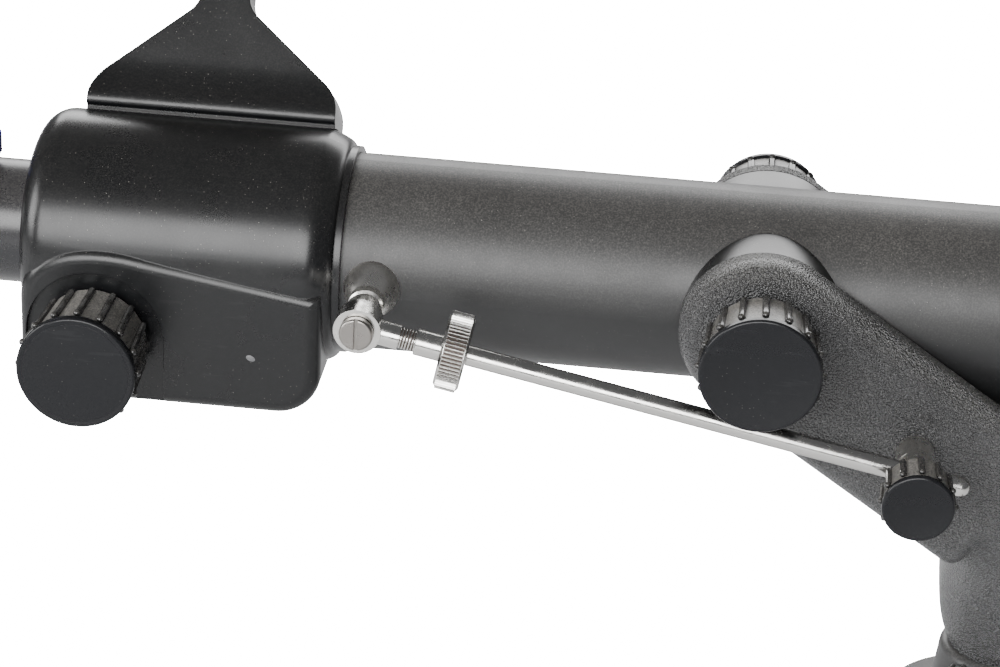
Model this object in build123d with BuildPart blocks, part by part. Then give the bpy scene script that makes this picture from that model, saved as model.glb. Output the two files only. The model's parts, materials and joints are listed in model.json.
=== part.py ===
from build123d import *
import os
from math import acos, copysign, cos, hypot, pi, radians, sin, sqrt, tan

os.makedirs("parts", exist_ok=True)

# Small refracting telescope on a two-armed alt-azimuth yoke and a short folding stand.
# Millimetres. X points towards the objective, Z up, and the origin is on the floor
# under the azimuth axis. Along the optical tube, x is counted from the altitude axis.
# Across it, z is counted from the tube axis. The near side is -Y.

axis_offset = 88.0  # azimuth axis ahead of the altitude axis
pivot_height = 320.0  # altitude axis above the floor
running_gap = 0.05  # radial clearance of turning and sliding fits
seat_gap = 0.3  # clearance between pieces that pass each other

# Optical tube
tube_radius = 31.0
tube_wall = 1.5
tube_front = 372.0
bolt_radius = 4.0  # altitude bolts
boss_radius = 25.3  # round bosses that carry the altitude bolts
lens_margin = 0.6  # tube radius over lens radius

# Focuser
housing_rear = -231.5
housing_front = -132.7
housing_radius = tube_radius + 6.6
case_floor = -42.2  # underside of the gear case
socket_depth = 22.0  # how far the tube goes into the housing
drawtube_radius = 17.8
drawtube_bore = 13.8
drawtube_length = 124.0
collar_radius = 19.8
collar_rear = -262.0  # rear face of the drawtube collar
collar_gap = 0.6  # between the collar and the housing
barrel_radius = 15.85  # the 1 1/4 inch barrels
focus_x = -206.0
focus_z = -20.5
focus_travel = 80.0

# Star diagonal
mirror_x = -288.0
cover_half = 25.0  # half length of the sloping cover
cover_depth = 4.5
cover_chamfer = 1.0

# Yoke
arm_inner = tube_radius + 2.2
arm_outer = arm_inner + 10.8
arm_half_width = 25.4
arm_fall = radians(33.5)
yoke_drop = 122.0  # yoke's base below the altitude axis
neck_radius = 16.0
edge_round = 7.5

# Slow-motion rod
post_x = -120.5
post_z = 1.0
post_foot = 8.75  # radius of the post where it meets the tube
clamp_x = 49.5
clamp_z = -32.0
rod_side = arm_outer + 14.0  # rod's distance from the tube's middle plane
rod_radius = 3.175
rod_end = 190.0  # along the rod, counted from the post

# Finder
finder_lean = radians(32)  # the finder leans to the far side
finder_height = housing_radius + 65.4  # finder axis from the tube axis
fin_x = -179.5

# Stand
hub_drop = 48.0  # height of the hub
foot_reach = 235.0
leg_hinge_reach = 27.0
leg_hinge_height = 160.0

pivot_x = -axis_offset
base_height = pivot_height - yoke_drop
rear_reach = mirror_x - (cover_half + cover_depth - cover_chamfer) * sqrt(0.5)

side_plane = Plane(origin=(pivot_x, 0, pivot_height), x_dir=(1, 0, 0), z_dir=(0, -1, 0))
finder_plane = Plane(
    origin=(pivot_x, 0, pivot_height),
    x_dir=(1, 0, 0),
    z_dir=(0, -cos(finder_lean), sin(finder_lean)),
)
tube_axis = Axis((pivot_x, 0, pivot_height), (1, 0, 0))


def cross_plane(x, y=0.0, z=0.0):
    """Plane across the tube at x, with its sketch axes along Y and Z."""
    return Plane(origin=(pivot_x + x, y, pivot_height + z), x_dir=(0, 1, 0), z_dir=(1, 0, 0))


def outward_plane(x, z, distance, side=-1):
    """Plane at right angles to Y, facing away from the tube on one side."""
    return Plane(
        origin=(pivot_x + x, side * distance, pivot_height + z),
        x_dir=(1, 0, 0),
        z_dir=(0, side, 0),
    )


def outline(plane, points):
    """Closed straight-sided face on a plane."""
    with BuildSketch(plane) as shape:
        with BuildLine():
            Polyline(*points, close=True)
        make_face()
    return shape.sketch


def tube_band(start, end, inner, outer, plane=side_plane):
    """Half section of a ring about the tube axis."""
    return outline(plane, [(start, inner), (end, inner), (end, outer), (start, outer)])


def save(piece, name):
    piece.part.label = name
    export_step(piece.part, f"parts/{name}.step")


standing = (Align.CENTER, Align.CENTER, Align.MIN)

# Optical tube
tube_rear = housing_front - socket_depth
tube_bore = tube_radius - tube_wall
spigot_radius = 3.0

with BuildPart() as main_tube:
    revolve(tube_band(tube_rear, tube_front, tube_bore, tube_radius), axis=tube_axis)
    with BuildSketch(side_plane):
        Circle(bolt_radius)
    extrude(amount=tube_radius + 1, both=True, mode=Mode.SUBTRACT)
    with BuildSketch(side_plane):
        with Locations((post_x, post_z)):
            Circle(spigot_radius)
    extrude(amount=tube_radius + 1, mode=Mode.SUBTRACT)
save(main_tube, "main_tube")

baffle_places = (150.0, 290.0)
baffle_openings = (tube_bore - 7.5, tube_bore - 3.5)
with BuildPart() as baffle_rings:
    for place, opening in zip(baffle_places, baffle_openings):
        revolve(tube_band(place, place + 1.5, opening, tube_bore), axis=tube_axis)
save(baffle_rings, "baffle_rings")

# Lens cell: a sleeve inside the tube, and a head that holds the two lenses
cell_radius = tube_radius + 4.0
cell_front = tube_front + 16.0
cell_opening = tube_bore - 2.0
lens_radius = tube_radius - lens_margin
lens_seat_radius = lens_radius + 0.1
lens_seat = tube_front + 4.0
with BuildPart() as lens_cell:
    profile = [
        (tube_front - 14, cell_opening),
        (lens_seat, cell_opening),
        (lens_seat, lens_seat_radius),
        (cell_front, lens_seat_radius),
        (cell_front, cell_radius),
        (tube_front, cell_radius),
        (tube_front, tube_bore),
        (tube_front - 14, tube_bore),
    ]
    revolve(outline(side_plane, profile), axis=tube_axis)
save(lens_cell, "lens_cell")

lens_bow = 2.5
flint_edge = lens_seat + 5.0
flint_bow = 0.6  # hollow of the flint's rear face
crown_back = flint_edge + 0.3
crown_front = crown_back + 2.6


def dome(vertex, rim, radius, level=0.0):
    """Three points of a spherical face: vertex on the axis, half way up, and rim."""
    bow = rim - vertex
    sphere = (bow**2 + radius**2) / (2 * bow)
    middle = vertex + sphere - copysign(sqrt(sphere**2 - radius**2 / 4), sphere)
    return (vertex, level), (middle, level + radius / 2), (rim, level + radius)


def lens_section(plane, rear, front, radius, level=0.0):
    """Half section of a lens, its faces given as (vertex, rim) along the axis."""
    rear_points = dome(rear[0], rear[1], radius, level)
    front_points = dome(front[0], front[1], radius, level)
    with BuildSketch(plane) as section:
        with BuildLine():
            ThreePointArc(*rear_points)
            Line(rear_points[2], front_points[2])
            ThreePointArc(*front_points[::-1])
            Line(front_points[0], rear_points[0])
        make_face()
    return section.sketch


with BuildPart() as objective_flint:
    rear_face = (lens_seat + flint_bow, lens_seat)
    front_face = (flint_edge - lens_bow, flint_edge)
    revolve(lens_section(side_plane, rear_face, front_face, lens_radius), axis=tube_axis)
save(objective_flint, "objective_flint")

with BuildPart() as objective_crown:
    rear_face = (crown_back - lens_bow, crown_back)
    front_face = (crown_front + lens_bow, crown_front)
    revolve(lens_section(side_plane, rear_face, front_face, lens_radius), axis=tube_axis)
save(objective_crown, "objective_crown")

with BuildPart() as lens_retaining_ring:
    ring_rear = crown_front + 0.35
    revolve(tube_band(ring_rear, cell_front - 0.4, lens_radius - 1.8, lens_seat_radius), axis=tube_axis)
save(lens_retaining_ring, "lens_retaining_ring")

shade_radius = cell_radius + 2.5
shade_front = 2 * axis_offset - rear_reach  # reaches as far ahead of the stand as the diagonal behind
shade_rear = tube_front - 8.0
with BuildPart() as dew_shield:
    profile = [
        (shade_rear, tube_radius),
        (tube_front - 4, tube_radius),
        (tube_front - 4, cell_radius),
        (shade_front, cell_radius),
        (shade_front, shade_radius),
        (shade_rear, shade_radius),
    ]
    revolve(outline(side_plane, profile), axis=tube_axis)
    fillet(dew_shield.edges().filter_by(GeomType.CIRCLE).group_by(SortBy.RADIUS)[-1], 0.9)
save(dew_shield, "dew_shield")

# Focuser housing
cavity_radius = tube_bore
cavity_rear = housing_rear + 19.0
guide_bore = drawtube_radius + running_gap
cheek_stand = 0.9  # the gear case cheeks stand this far off the round shell
recess_radius = 21.8
recess_depth = 3.0
recess_floor = housing_radius + cheek_stand - recess_depth
shaft_radius = 2.6
access_length = 28.0
access_width = 24.0
cover_length = 38.0
cover_width = 32.0
cover_thickness = 2.0
cheek_crown = focus_z + recess_radius + 8.0  # top of the cheek's bow over the knob
case_round = 4.5
shoulder = 9.5
lip_drop = 4.6
lip_length = 2.2

case_half = housing_radius + cheek_stand
with BuildPart() as focuser_housing:
    # gear case, with a bow over the focus knob and a straight run to the front
    with BuildSketch(side_plane):
        with BuildLine():
            Spline(
                (housing_rear + 1.5, case_floor + 30),
                (focus_x - 17, cheek_crown - 5),
                (focus_x + 2, cheek_crown),
                (focus_x + 16, cheek_crown - 1.5),
            )
            Line((focus_x + 16, cheek_crown - 1.5), (housing_front - 2.5, -0.5))
            FilletPolyline(
                (housing_front - 2.5, -0.5),
                (housing_front - 2.5, case_floor),
                (housing_rear + 1.5, case_floor),
                (housing_rear + 1.5, case_floor + 30),
                radius=(14, 7),
            )
        make_face()
    extrude(amount=case_half, both=True)
    case_edges = focuser_housing.faces().filter_by(Axis.Y).edges()
    low_edges = case_edges.filter_by(lambda edge: edge.center().Z < pivot_height - 12)
    fillet(low_edges, case_round)
    # round shell, with a soft front shoulder and a thin lip on the tube
    with BuildSketch(side_plane):
        with BuildLine():
            FilletPolyline(
                (housing_rear, 0),
                (housing_rear, housing_radius),
                (housing_front - shoulder, housing_radius),
                radius=9,
            )
            Spline(
                (housing_front - shoulder, housing_radius),
                (housing_front - shoulder * 0.3, housing_radius - lip_drop * 0.42),
                (housing_front, housing_radius - lip_drop),
                tangents=((1, 0), (0.3, -1)),
            )
            Polyline(
                (housing_front, housing_radius - lip_drop),
                (housing_front + lip_length, housing_radius - lip_drop),
                (housing_front + lip_length, 0),
                (housing_rear, 0),
            )
        make_face()
    revolve(axis=tube_axis)
    # round-topped recess behind each knob, open below
    for side in (1, -1):
        with BuildSketch(side_plane.offset(side * recess_floor)):
            with Locations((focus_x, focus_z)):
                Circle(recess_radius)
            with Locations((focus_x, focus_z - 40)):
                Rectangle(2 * recess_radius, 80)
        extrude(amount=side * (recess_depth + 5), mode=Mode.SUBTRACT)
    # tube socket, inner cavity and drawtube guide
    hollow = [
        (housing_front + 10, 0),
        (housing_front + 10, tube_radius),
        (tube_rear, tube_radius),
        (tube_rear, cavity_radius),
        (cavity_rear, cavity_radius),
        (cavity_rear, guide_bore),
        (housing_rear - 10, guide_bore),
        (housing_rear - 10, 0),
    ]
    revolve(outline(side_plane, hollow), axis=tube_axis, mode=Mode.SUBTRACT)
    with BuildSketch(side_plane):
        with Locations((focus_x, focus_z)):
            Circle(shaft_radius + running_gap)
    extrude(amount=housing_radius + 10, both=True, mode=Mode.SUBTRACT)
    floor_plane = Plane.XY.offset(pivot_height + case_floor)
    with BuildSketch(floor_plane):
        with Locations((pivot_x + focus_x, 0)):
            Rectangle(access_length, access_width)
    extrude(amount=25, mode=Mode.SUBTRACT)
    with BuildSketch(floor_plane):
        with Locations((pivot_x + focus_x, 0)):
            Rectangle(cover_length, cover_width)
    extrude(amount=cover_thickness, mode=Mode.SUBTRACT)
    with BuildSketch(floor_plane):
        with Locations((pivot_x + focus_x, 0)):
            with GridLocations(cover_length - 6, 0.001, 2, 1):
                Circle(1.25)
    extrude(amount=cover_thickness + 6, mode=Mode.SUBTRACT)
save(focuser_housing, "focuser_housing")

with BuildPart() as pinion_cover_plate:
    with BuildSketch(floor_plane):
        with Locations((pivot_x + focus_x, 0)):
            Rectangle(cover_length - 0.2, cover_width - 0.2)
            with GridLocations(cover_length - 6, 0.001, 2, 1):
                Circle(1.25, mode=Mode.SUBTRACT)
    extrude(amount=cover_thickness)
save(pinion_cover_plate, "pinion_cover_plate")

with BuildPart() as cover_screws:
    with BuildSketch(floor_plane.offset(cover_thickness + 5)):
        with Locations((pivot_x + focus_x, 0)):
            with GridLocations(cover_length - 6, 0.001, 2, 1):
                Circle(1.25)
    extrude(amount=-cover_thickness - 5)
    with BuildSketch(floor_plane):
        with Locations((pivot_x + focus_x, 0)):
            with GridLocations(cover_length - 6, 0.001, 2, 1):
                Circle(2.5)
                Rectangle(6, 0.8, mode=Mode.SUBTRACT)
    extrude(amount=-1.4)
save(cover_screws, "cover_screws")

# Rack and pinion
gear_module = 0.8
pinion_teeth = 10
pressure_angle = radians(25)
pitch_radius = gear_module * pinion_teeth / 2
tip_radius = pitch_radius + 0.8 * gear_module
root_radius = pitch_radius - 0.9
base_radius = pitch_radius * cos(pressure_angle)
tooth_pitch = pi * gear_module
tooth_slack = 0.16
gear_width = 5.0
half_tooth = (tooth_pitch / 2 - tooth_slack) / 2


def involute(angle):
    return tan(angle) - angle


def flank_point(radius, centre, sign):
    """Point of a tooth's involute flank, on one side of the tooth's centre line."""
    roll = acos(min(1.0, base_radius / radius))
    turn = half_tooth / pitch_radius + involute(pressure_angle) - involute(roll)
    angle = centre + sign * turn
    return (radius * cos(angle), radius * sin(angle))


knob_face = housing_radius + 26.4  # outer face of the focus knobs from the middle plane
knob_base = recess_floor + 2.6

with BuildPart() as focus_pinion:
    with BuildSketch(side_plane):
        with Locations((focus_x, focus_z)):
            Circle(shaft_radius)
    extrude(amount=knob_face - 6, both=True)
    flank_radii = [base_radius + (tip_radius - base_radius) * share for share in (0, 0.35, 0.7, 1)]
    with BuildSketch(side_plane):
        with Locations((focus_x, focus_z)):
            Circle(root_radius)
            for tooth in range(pinion_teeth):
                middle = pi / 2 + 2 * pi * tooth / pinion_teeth
                left = [flank_point(radius, middle, 1) for radius in flank_radii]
                right = [flank_point(radius, middle, -1) for radius in flank_radii]
                foot = half_tooth / pitch_radius + involute(pressure_angle)
                left_foot = (2.6 * cos(middle + foot), 2.6 * sin(middle + foot))
                right_foot = (2.6 * cos(middle - foot), 2.6 * sin(middle - foot))
                with BuildSketch(mode=Mode.PRIVATE) as tooth_face:
                    with BuildLine():
                        Spline(*left)
                        Line(left[-1], right[-1])
                        Spline(*right[::-1])
                        Polyline(right[0], right_foot, left_foot, left[0])
                    make_face()
                add(tooth_face.sketch)
    extrude(amount=gear_width / 2, both=True)
save(focus_pinion, "focus_pinion")

rack_pitch_line = focus_z + pitch_radius
rack_tip = rack_pitch_line - 0.8 * gear_module
rack_root = rack_pitch_line + 0.9
channel_floor = rack_root + 1.2
rack_width = 5.6
rack_front = focus_x + focus_travel + 12
rack_rear = focus_x - 10
with BuildPart() as drawtube_rack:
    with BuildSketch(side_plane):
        with BuildLine():
            Polyline(
                (rack_rear, rack_root),
                (rack_front, rack_root),
                (rack_front, channel_floor),
                (rack_rear, channel_floor),
                close=True,
            )
        make_face()
        first_tooth = -int((focus_x - rack_rear) / tooth_pitch)
        last_tooth = int((rack_front - focus_x) / tooth_pitch)
        tip_half = half_tooth - 0.8 * gear_module * tan(pressure_angle)
        root_half = half_tooth + 0.9 * tan(pressure_angle)
        for tooth in range(first_tooth, last_tooth):
            middle = focus_x + (tooth + 0.5) * tooth_pitch
            with BuildLine():
                Polyline(
                    (middle - root_half, rack_root),
                    (middle - tip_half, rack_tip),
                    (middle + tip_half, rack_tip),
                    (middle + root_half, rack_root),
                    close=True,
                )
            make_face()
    extrude(amount=rack_width / 2, both=True)
save(drawtube_rack, "drawtube_rack")

collar_face = housing_rear - collar_gap
drawtube_rear = collar_rear + 17.0
drawtube_front = drawtube_rear + drawtube_length
with BuildPart() as drawtube:
    revolve(
        tube_band(drawtube_rear, drawtube_front, drawtube_bore, drawtube_radius),
        axis=tube_axis,
    )
    channel = [
        (rack_rear, channel_floor),
        (drawtube_front + 1, channel_floor),
        (drawtube_front + 1, -drawtube_radius - 1),
        (rack_rear, -drawtube_radius - 1),
    ]
    extrude(outline(side_plane, channel), amount=rack_width / 2 + 0.1, both=True, mode=Mode.SUBTRACT)
save(drawtube, "drawtube")

socket_radius = barrel_radius + running_gap
collar_screw_x = collar_rear + 11.0
collar_screw_radius = 2.0
with BuildPart() as drawtube_collar:
    profile = [
        (collar_rear, socket_radius),
        (drawtube_rear, socket_radius),
        (drawtube_rear, drawtube_radius),
        (collar_face, drawtube_radius),
        (collar_face, collar_radius),
        (collar_rear, collar_radius),
    ]
    revolve(outline(side_plane, profile), axis=tube_axis)
    fillet(drawtube_collar.edges().filter_by(GeomType.CIRCLE).group_by(SortBy.RADIUS)[-1], 0.8)
    with BuildSketch(Plane.XY.offset(pivot_height)):
        with Locations((pivot_x + collar_screw_x, 0)):
            Circle(collar_screw_radius + running_gap)
    extrude(amount=collar_radius + 5, mode=Mode.SUBTRACT)
save(drawtube_collar, "drawtube_collar")


def thumb_screw(name, plane, shank, shank_radius, head, head_radius, flutes):
    """Screw standing on its tip at the plane, with a fluted head above a neck."""
    with BuildPart(plane) as screw:
        Cylinder(shank_radius, shank, align=standing)
        with Locations((0, 0, shank)):
            Cylinder(head_radius, head, align=standing)
        top = screw.faces().sort_by(Axis(plane.origin, plane.z_dir))[-1]
        chamfer(top.edges(), 0.6)
        with Locations((0, 0, shank - 1)):
            with PolarLocations(head_radius + 0.35, flutes):
                Cylinder(0.8, head + 2, align=standing, mode=Mode.SUBTRACT)
    save(screw, name)


thumb_screw(
    "collar_thumb_screw",
    Plane(origin=(pivot_x + collar_screw_x, 0, pivot_height + barrel_radius + 0.2)),
    shank=collar_radius + 3 - barrel_radius,
    shank_radius=collar_screw_radius,
    head=7.0,
    head_radius=6.6,
    flutes=20,
)

# Star diagonal
diagonal_half = 18.0
diagonal_face = mirror_x + 20.0
holder_radius = 18.5
holder_top = 46.0
with BuildPart() as diagonal_body:
    corner = diagonal_face - mirror_x
    body_shape = [
        (diagonal_face, -corner),
        (diagonal_face, diagonal_half),
        (mirror_x - diagonal_half, diagonal_half),
    ]
    extrude(outline(side_plane, body_shape), amount=diagonal_half, both=True)
    chamfer(diagonal_body.edges().filter_by(Axis.X), 1.2)
    with BuildSketch(Plane.XY.offset(pivot_height + diagonal_half - 2)):
        with Locations((pivot_x + mirror_x, 0)):
            Circle(holder_radius)
    extrude(amount=holder_top - diagonal_half + 2)
    cut_shape = [
        (mirror_x - 60, 60),
        (mirror_x + 60, -60),
        (mirror_x - 60, -60),
    ]
    extrude(outline(side_plane, cut_shape), amount=60, both=True, mode=Mode.SUBTRACT)
    with BuildSketch(cross_plane(diagonal_face + 1)):
        Circle(drawtube_bore)
    extrude(amount=-60, mode=Mode.SUBTRACT)
    with BuildSketch(Plane.XY.offset(pivot_height - 40)):
        with Locations((pivot_x + mirror_x, 0)):
            Circle(drawtube_bore)
    extrude(amount=60, mode=Mode.SUBTRACT)
    with BuildSketch(Plane.XY.offset(pivot_height + diagonal_half)):
        with Locations((pivot_x + mirror_x, 0)):
            Circle(socket_radius)
    extrude(amount=40, mode=Mode.SUBTRACT)
    with BuildSketch(outward_plane(mirror_x, holder_top - 8, 0, side=1)):
        Circle(collar_screw_radius + running_gap)
    extrude(amount=holder_radius + 5, mode=Mode.SUBTRACT)
save(diagonal_body, "diagonal_body")

with BuildPart() as diagonal_nose:
    nose_front = drawtube_rear - 0.5
    revolve(tube_band(diagonal_face, nose_front, drawtube_bore, barrel_radius), axis=tube_axis)
save(diagonal_nose, "diagonal_nose")

mirror_plane = Plane(
    origin=(pivot_x + mirror_x, 0, pivot_height),
    x_dir=(0, 1, 0),
    z_dir=(-1, 0, -1),
)
mirror_thickness = 2.5
with BuildPart() as diagonal_mirror:
    with BuildSketch(mirror_plane):
        Rectangle(30, 42)
    extrude(amount=mirror_thickness)
save(diagonal_mirror, "diagonal_mirror")

with BuildPart() as diagonal_cover:
    with BuildSketch(mirror_plane):
        RectangleRounded(2 * diagonal_half, 2 * cover_half, 1.5)
    extrude(amount=cover_depth)
    with BuildSketch(mirror_plane):
        Rectangle(30.2, 42.2)
    extrude(amount=mirror_thickness, mode=Mode.SUBTRACT)
    cover_face = diagonal_cover.faces().sort_by(Axis((0, 0, 0), (-1, 0, -1)))[-1]
    chamfer(cover_face.edges(), cover_chamfer)
save(diagonal_cover, "diagonal_cover")

thumb_screw(
    "diagonal_thumb_screw",
    outward_plane(mirror_x, holder_top - 8, barrel_radius + 0.2, side=1),
    shank=holder_radius + 2.5 - barrel_radius,
    shank_radius=collar_screw_radius,
    head=6.0,
    head_radius=4.5,
    flutes=16,
)

# Eyepiece
eyepiece_axis = Axis((pivot_x + mirror_x, 0, pivot_height), (0, 0, 1))
eyepiece_plane = Plane(
    origin=(pivot_x + mirror_x, 0, pivot_height),
    x_dir=(1, 0, 0),
    z_dir=(0, -1, 0),
)
eyepiece_radius = 17.0
barrel_bottom = diagonal_half + 4.0
eyepiece_seat = holder_top + 0.2
eyepiece_top = eyepiece_seat + 30.0
barrel_bore = 14.3


def upright_band(bottom, top, inner, outer):
    """Half section of a ring about the eyepiece's axis."""
    return outline(
        eyepiece_plane, [(inner, bottom), (outer, bottom), (outer, top), (inner, top)]
    )


with BuildPart() as eyepiece_barrel:
    revolve(upright_band(barrel_bottom, eyepiece_seat, barrel_bore, barrel_radius), axis=eyepiece_axis)
save(eyepiece_barrel, "eyepiece_barrel")

with BuildPart() as eyepiece_body:
    profile = [
        (barrel_bore, eyepiece_seat),
        (eyepiece_radius, eyepiece_seat),
        (eyepiece_radius, eyepiece_top - 4),
        (14.5, eyepiece_top),
        (9.0, eyepiece_top),
        (9.0, eyepiece_top - 6),
        (12.0, eyepiece_top - 6),
        (12.0, eyepiece_top - 14),
        (barrel_bore, eyepiece_top - 14),
    ]
    revolve(outline(eyepiece_plane, profile), axis=eyepiece_axis)
save(eyepiece_body, "eyepiece_body")

lens_plane = Plane(origin=eyepiece_plane.origin, x_dir=(0, 0, 1), z_dir=(0, 1, 0))
with BuildPart() as eyepiece_lenses:
    lower_face = (eyepiece_top - 13.5, eyepiece_top - 12.5)
    upper_face = (eyepiece_top - 9, eyepiece_top - 10)
    revolve(lens_section(lens_plane, lower_face, upper_face, 12.0), axis=eyepiece_axis)
    lower_face = (barrel_bottom + 6, barrel_bottom + 8.6)
    upper_face = (barrel_bottom + 12.3, barrel_bottom + 12)
    revolve(lens_section(lens_plane, lower_face, upper_face, barrel_bore), axis=eyepiece_axis)
save(eyepiece_lenses, "eyepiece_lenses")

with BuildPart() as eyecup:
    profile = [
        (14.5, eyepiece_top),
        (eyepiece_radius, eyepiece_top - 4),
        (eyepiece_radius, eyepiece_top + 4),
        (eyepiece_radius - 0.8, eyepiece_top + 8),
        (15.0, eyepiece_top + 8),
        (13.6, eyepiece_top + 1.5),
        (9.5, eyepiece_top + 1.5),
        (9.5, eyepiece_top),
    ]
    revolve(outline(eyepiece_plane, profile), axis=eyepiece_axis)
save(eyecup, "eyecup")

# Trunnions
arm_face_gap = 0.2
with BuildPart() as trunnion_bosses:
    with BuildSketch(side_plane):
        Circle(boss_radius)
        Circle(bolt_radius, mode=Mode.SUBTRACT)
    extrude(amount=arm_inner - arm_face_gap, both=True)
    revolve(tube_band(-60, 60, 0, tube_radius), axis=tube_axis, mode=Mode.SUBTRACT)
save(trunnion_bosses, "trunnion_bosses")

washer_thickness = 1.4
altitude_knob_face = arm_outer + 22.5
altitude_knob_base = arm_outer + seat_gap + washer_thickness + 0.1
bolt_end = altitude_knob_face - 7.0
with BuildPart() as altitude_bolts:
    with BuildSketch(side_plane.offset(tube_bore - 5)):
        Circle(7.0)
    extrude(amount=4.0)
    with BuildSketch(side_plane.offset(tube_bore - 5)):
        Circle(bolt_radius)
    extrude(amount=bolt_end - tube_bore + 5)
    mirror(about=Plane.XZ)
save(altitude_bolts, "altitude_bolts")

with BuildPart() as altitude_washers:
    with BuildSketch(side_plane.offset(arm_outer)):
        Circle(13.0)
        Circle(bolt_radius + running_gap, mode=Mode.SUBTRACT)
    extrude(amount=washer_thickness)
    mirror(about=Plane.XZ)
save(altitude_washers, "altitude_washers")


def ribbed_knob(name, plane, length, root, crown, ribs, rib_radius, bore, bore_depth):
    """Tapered hand knob with round ribs and a recess for its cap."""
    with BuildPart(plane) as knob:
        Cone(root, crown, length - 1.2, align=standing)
        with PolarLocations((root + crown) / 2, ribs):
            Cylinder(rib_radius, length - 4, align=standing)
        with Locations((0, 0, length - 1.2)):
            Cylinder(crown + rib_radius * 0.6, 1.2, align=standing)
        with Locations((0, 0, length - 0.9)):
            Cylinder(crown - 1.2, 1.0, align=standing, mode=Mode.SUBTRACT)
        if bore_depth > 0:
            Cylinder(bore, bore_depth, align=standing, mode=Mode.SUBTRACT)
    save(knob, name)


knob_root = 16.3
knob_crown = 17.7
knob_rib = 1.25
for side, word in ((-1, "near"), (1, "far")):
    focus_length = knob_face - knob_base
    ribbed_knob(
        f"focus_knob_{word}",
        outward_plane(focus_x, focus_z, knob_base, side),
        length=focus_length,
        root=knob_root,
        crown=knob_crown,
        ribs=16,
        rib_radius=knob_rib,
        bore=shaft_radius,
        bore_depth=knob_face - 6 - knob_base,
    )
    ribbed_knob(
        f"altitude_knob_{word}",
        outward_plane(0, 0, altitude_knob_base, side),
        length=altitude_knob_face - altitude_knob_base,
        root=knob_root,
        crown=knob_crown,
        ribs=16,
        rib_radius=knob_rib,
        bore=bolt_radius + running_gap,
        bore_depth=bolt_end + 0.5 - altitude_knob_base,
    )

cap_thickness = 0.8
with BuildPart() as focus_knob_caps:
    with BuildSketch(side_plane.offset(knob_face - 0.9)):
        with Locations((focus_x, focus_z)):
            Circle(knob_crown - 1.3)
    extrude(amount=cap_thickness)
    mirror(about=Plane.XZ)
save(focus_knob_caps, "focus_knob_caps")

# Slow-motion rod
post_axis = Axis((pivot_x + post_x, 0, pivot_height + post_z), (0, 1, 0))
post_level = Plane(origin=(pivot_x + post_x, 0, pivot_height + post_z))
eye_half = 4.0
eye_inner = rod_side - eye_half
pin_radius = 3.5
neck = 5.5
with BuildPart() as slow_motion_post:
    with BuildSketch(post_level):
        with BuildLine():
            Polyline(
                (0, -eye_inner - 2 * eye_half - 0.3),
                (pin_radius, -eye_inner - 2 * eye_half - 0.3),
                (pin_radius, -eye_inner + 0.15),
                (neck, -eye_inner + 0.15),
                (neck, -46.5),
                (neck - 0.9, -45.8),
                (neck - 0.9, -44.6),
                (neck, -43.9),
                (neck, -40.5),
            )
            ThreePointArc((neck, -40.5), (7.2, -36.8), (post_foot, -31.5))
            Polyline(
                (post_foot, -31.5),
                (post_foot, -25),
                (0, -25),
                (0, -eye_inner - 2 * eye_half - 0.3),
            )
        make_face()
    revolve(axis=post_axis)
    revolve(
        tube_band(post_x - 20, post_x + 20, 0, tube_radius), axis=tube_axis, mode=Mode.SUBTRACT
    )
    with BuildSketch(side_plane.offset(tube_bore - 3)):
        with Locations((post_x, post_z)):
            Circle(spigot_radius)
    extrude(amount=8)
save(slow_motion_post, "slow_motion_post")

screw_seat = eye_inner + 2 * eye_half + 0.3
with BuildPart(outward_plane(post_x, post_z, screw_seat)) as pivot_screw:
    Cylinder(5.15, 2.4, align=standing)
    fillet(pivot_screw.edges().group_by(Axis.Y)[0], 0.8)
    with Locations((0, 0, 1.4)):
        Box(1.2, 12, 2, align=standing, mode=Mode.SUBTRACT)
save(pivot_screw, "pivot_screw")

rod_rise = (clamp_z - post_z) / (clamp_x - post_x)
rod_run = hypot(clamp_x - post_x, clamp_z - post_z)
rod_direction = ((clamp_x - post_x) / rod_run, 0, (clamp_z - post_z) / rod_run)


def rod_plane(distance):
    """Plane across the rod, at a distance from the post's axis."""
    return Plane(
        origin=(
            pivot_x + post_x + rod_direction[0] * distance,
            -rod_side,
            pivot_height + post_z + rod_direction[2] * distance,
        ),
        x_dir=(0, 1, 0),
        z_dir=rod_direction,
    )


thread_radius = 3.0
thread_end = 29.0
sleeve_start = 17.6
nut_start = 25.6
nut_thickness = 8.0
nut_radius = 12.2
sleeve_radius = 4.1
with BuildPart() as eye_stud:
    with BuildSketch(side_plane.offset(eye_inner + 0.1)):
        with Locations((post_x, post_z)):
            Circle(7.2)
    extrude(amount=2 * eye_half - 0.2)
    with BuildSketch(rod_plane(0)):
        Circle(3.8)
    extrude(amount=12.6)
    with BuildSketch(rod_plane(0)):
        Circle(thread_radius)
    extrude(amount=thread_end)
    with BuildSketch(side_plane):
        with Locations((post_x, post_z)):
            Circle(pin_radius + running_gap)
    extrude(amount=rod_side + 10, mode=Mode.SUBTRACT)
save(eye_stud, "eye_stud")

with BuildPart() as knurled_nut:
    with BuildSketch(rod_plane(sleeve_start)):
        Circle(sleeve_radius)
    extrude(amount=nut_start - sleeve_start)
    with BuildSketch(rod_plane(nut_start)):
        Circle(nut_radius)
    extrude(amount=nut_thickness)
    rims = knurled_nut.edges().filter_by(GeomType.CIRCLE).group_by(SortBy.RADIUS)[-1]
    chamfer(rims, 0.9)
    with BuildSketch(rod_plane(sleeve_start - 1)):
        Circle(thread_radius + running_gap)
    extrude(amount=nut_start - sleeve_start + nut_thickness + 2, mode=Mode.SUBTRACT)
save(knurled_nut, "knurled_nut")

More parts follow.
